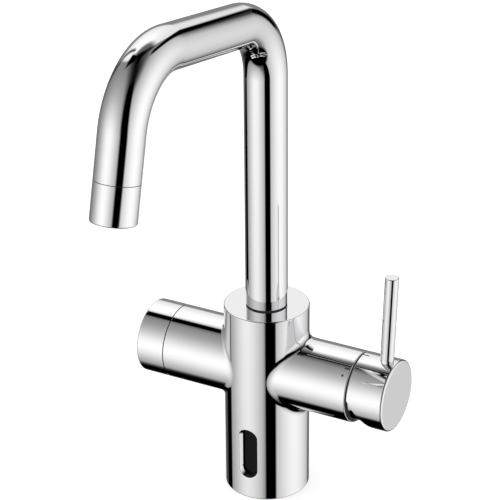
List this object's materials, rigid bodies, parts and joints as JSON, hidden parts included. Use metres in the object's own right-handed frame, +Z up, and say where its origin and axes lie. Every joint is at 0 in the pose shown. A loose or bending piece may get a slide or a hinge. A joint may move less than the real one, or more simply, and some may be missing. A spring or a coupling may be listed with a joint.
{
  "type": "electronic kitchen faucet",
  "caption": "Chrome kitchen faucet with an angular swivel spout, a side lever mixer, a temperature knob and an infrared sensor window in the upright body.",
  "frame": {"origin": "centre of the body's face that stands on the deck", "axes": "+Z up, -Y to the front along the spout and the sensor window, +X along the lever's arm"},
  "size_m": [0.183, 0.2258, 0.3715],
  "materials": {
    "chrome": "polished chrome plate on brass",
    "brass": "machined brass, unplated",
    "steel": "stainless steel, machined",
    "rubber": "black moulded rubber",
    "ceramic": "lapped white ceramic",
    "white_plastic": "moulded ivory engineering plastic",
    "grey_plastic": "moulded grey engineering plastic",
    "black_plastic": "moulded black engineering plastic",
    "aerator_plastic": "moulded grey plastic grid",
    "sensor_window": "polished infrared-clear dark plastic",
    "circuit_board": "green solder mask",
    "diode_blue": "clear blue epoxy",
    "diode_black": "dark epoxy",
    "coil": "lacquered copper winding on a bobbin"
  },
  "bodies": {
    "body": {"body_casting": "chrome", "base_plate": "brass", "base_gasket": "rubber", "base_grub_screw": "steel", "hot_inlet_tube": "brass", "cold_inlet_tube": "brass", "hot_strainer": "steel", "cold_strainer": "steel", "hot_check_valve": "white_plastic", "cold_check_valve": "white_plastic", "cable_gland": "rubber", "sensor_lens": "sensor_window", "sensor_gasket": "rubber", "sensor_housing": "black_plastic", "sensor_board": "circuit_board", "infrared_emitter": "diode_blue", "infrared_receiver": "diode_black", "sensor_bracket": "steel", "sensor_screw": "steel", "valve_seat": "white_plastic", "valve_diaphragm": "rubber", "valve_guide": "white_plastic", "valve_coil": "coil", "plunger_spring": "steel", "spout_bearing": "black_plastic", "spout_stop_screw": "steel", "port_plate": "white_plastic", "port_seals": "rubber", "fixed_disc": "ceramic", "cartridge_housing": "white_plastic", "cartridge_nut": "brass", "cover_dome": "chrome", "mixer_housing": "white_plastic", "mixer_fixed_disc": "ceramic", "mixer_nut": "brass", "knob_stop": "black_plastic"},
    "spout": {"spout_tube": "chrome", "spout_spigot": "brass", "spout_o_rings": "rubber", "outlet_bush": "brass", "aerator_sleeve": "chrome", "aerator_gasket": "rubber", "flow_regulator": "white_plastic", "aerator_insert": "aerator_plastic", "aerator_grid": "aerator_plastic"},
    "rotor": {"cartridge_rotor": "grey_plastic", "tilt_pin": "steel"},
    "lever": {"lever_stem": "steel", "lever_hub": "chrome", "lever_rod": "chrome", "lever_screw": "steel"},
    "disc": {"moving_disc": "ceramic", "disc_carrier": "grey_plastic"},
    "knob": {"temperature_knob": "chrome", "mixer_spindle": "steel", "mixer_turning_disc": "ceramic", "knob_screw": "steel"},
    "plunger": {"valve_plunger": "steel"}
  },
  "joints": [
    {"name": "spout_swivel", "type": "hinge", "parent": "body", "child": "spout", "pos_m": [0, 0, 0.137], "axis": [0, 0, 1], "range_deg": [-60, 60]},
    {"name": "lever_turn", "type": "hinge", "parent": "body", "child": "rotor", "pos_m": [0.07, 0, 0.0905], "axis": [1, 0, 0], "range_deg": [-45, 45]},
    {"name": "lever_tilt", "type": "hinge", "parent": "rotor", "child": "lever", "pos_m": [0.07, 0, 0.0905], "axis": [0, 1, 0], "range_deg": [0, 25]},
    {"name": "disc_slide", "type": "slide", "parent": "rotor", "child": "disc", "axis": [0, 0, 1], "range_m": [0, 0.00525]},
    {"name": "knob_turn", "type": "hinge", "parent": "body", "child": "knob", "pos_m": [-0.07, 0, 0.0905], "axis": [1, 0, 0], "range_deg": [-60, 60]},
    {"name": "plunger_slide", "type": "slide", "parent": "body", "child": "plunger", "axis": [0, 0, -1], "range_m": [0, 0.002], "stiffness_N_per_m": 100, "springref_m": -0.005, "deforming": ["plunger_spring"]}
  ],
  "couplings": [
    {"joint": "disc_slide", "follows": "lever_tilt", "m_per_rad": 0.012}
  ]
}
